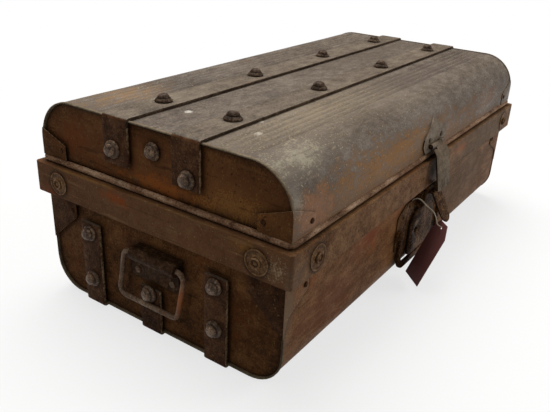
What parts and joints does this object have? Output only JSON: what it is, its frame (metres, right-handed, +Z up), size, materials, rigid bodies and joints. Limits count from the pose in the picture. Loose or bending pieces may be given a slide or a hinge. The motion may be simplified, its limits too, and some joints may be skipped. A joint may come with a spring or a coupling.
{
  "type": "travelling trunk",
  "caption": "Pressed-steel travelling trunk with a hinged flat-topped lid, riveted straps and runners, hasp, lock, bail handles and a swing tag.",
  "frame": {"origin": "middle of the plane that the runners stand on, under the trunk's middle", "axes": "+X along the trunk's length, -Y towards the lock, +Z up"},
  "size_m": [0.8684, 0.5216, 0.3273],
  "materials": {
    "lid_paint": "worn, rusted brown paint",
    "end_paint": "worn, rusted dark brown paint",
    "body_paint": "worn, rusted brown paint",
    "collar_paint": "worn, rusted brown paint",
    "strap_iron": "worn brown paint over rust",
    "corner_plate": "worn brown paint over rust",
    "stud_iron": "rubbed, rusted",
    "rivet_iron": "rubbed, rusted",
    "handle_iron": "rubbed, rusted",
    "hasp_iron": "rubbed, rusted",
    "lock_iron": "rubbed, rusted",
    "hinge_iron": "rubbed, rusted",
    "tag_card": "matt card",
    "tag_cord": "twisted cotton"
  },
  "bodies": {
    "base": {"base_collar": "collar_paint", "base_end_left": "end_paint", "base_end_right": "end_paint", "base_gusset_front_left": "corner_plate", "base_gusset_front_right": "corner_plate", "base_gusset_rear_left": "corner_plate", "base_gusset_rear_right": "corner_plate", "base_shell": "body_paint", "collar_rivets": "rivet_iron", "collar_rosettes": "corner_plate", "gusset_rivets": "rivet_iron", "handle_plate_left": "handle_iron", "handle_plate_right": "handle_iron", "handle_rivets": "rivet_iron", "hinge_base_leaf_left": "hinge_iron", "hinge_base_leaf_right": "hinge_iron", "hinge_base_rivets": "rivet_iron", "hinge_pin_left": "hinge_iron", "hinge_pin_right": "hinge_iron", "lock_box": "lock_iron", "lock_case": "lock_iron", "lock_lip": "lock_iron", "lock_loop": "lock_iron", "lock_loop_bosses": "lock_iron", "lock_plate": "lock_iron", "lock_rivets": "rivet_iron", "runner_front": "strap_iron", "runner_middle": "strap_iron", "runner_rear": "strap_iron", "runner_studs_left": "stud_iron", "runner_studs_right": "stud_iron", "string_knot": "tag_cord", "swing_tag": "tag_card", "tag_string": "tag_cord"},
    "lid": {"hasp_pin": "hasp_iron", "hasp_plate": "hasp_iron", "hasp_plate_rivets": "rivet_iron", "hinge_lid_leaf_left": "hinge_iron", "hinge_lid_leaf_right": "hinge_iron", "hinge_lid_rivets": "rivet_iron", "lid_bead": "collar_paint", "lid_end_left": "end_paint", "lid_end_right": "end_paint", "lid_end_studs_left": "stud_iron", "lid_end_studs_right": "stud_iron", "lid_patch_front_left": "corner_plate", "lid_patch_front_right": "corner_plate", "lid_patch_rear_left": "corner_plate", "lid_patch_rear_right": "corner_plate", "lid_shell": "lid_paint", "lid_strap_front": "strap_iron", "lid_strap_rear": "strap_iron", "patch_rivets": "rivet_iron", "strap_studs_front": "stud_iron", "strap_studs_rear": "stud_iron"},
    "hasp": {"hasp_leaf": "hasp_iron", "hasp_staple": "hasp_iron"},
    "handle_left": {"handle_bail_left": "handle_iron"},
    "handle_right": {"handle_bail_right": "handle_iron"}
  },
  "joints": [
    {"name": "lid_hinge", "type": "hinge", "parent": "base", "child": "lid", "pos_m": [0, 0.2358, 0.2135], "axis": [-1, 0, 0], "range_deg": [0, 105]},
    {"name": "hasp_hinge", "type": "hinge", "parent": "lid", "child": "hasp", "pos_m": [0.002, -0.2258, 0.2355], "axis": [-1, 0, 0], "range_deg": [0, 130]},
    {"name": "handle_left_hinge", "type": "hinge", "parent": "base", "child": "handle_left", "pos_m": [-0.4248, -0.007, 0.125], "axis": [0, 1, 0], "range_deg": [0, 165]},
    {"name": "handle_right_hinge", "type": "hinge", "parent": "base", "child": "handle_right", "pos_m": [0.4248, -0.007, 0.125], "axis": [0, -1, 0], "range_deg": [0, 165]}
  ]
}
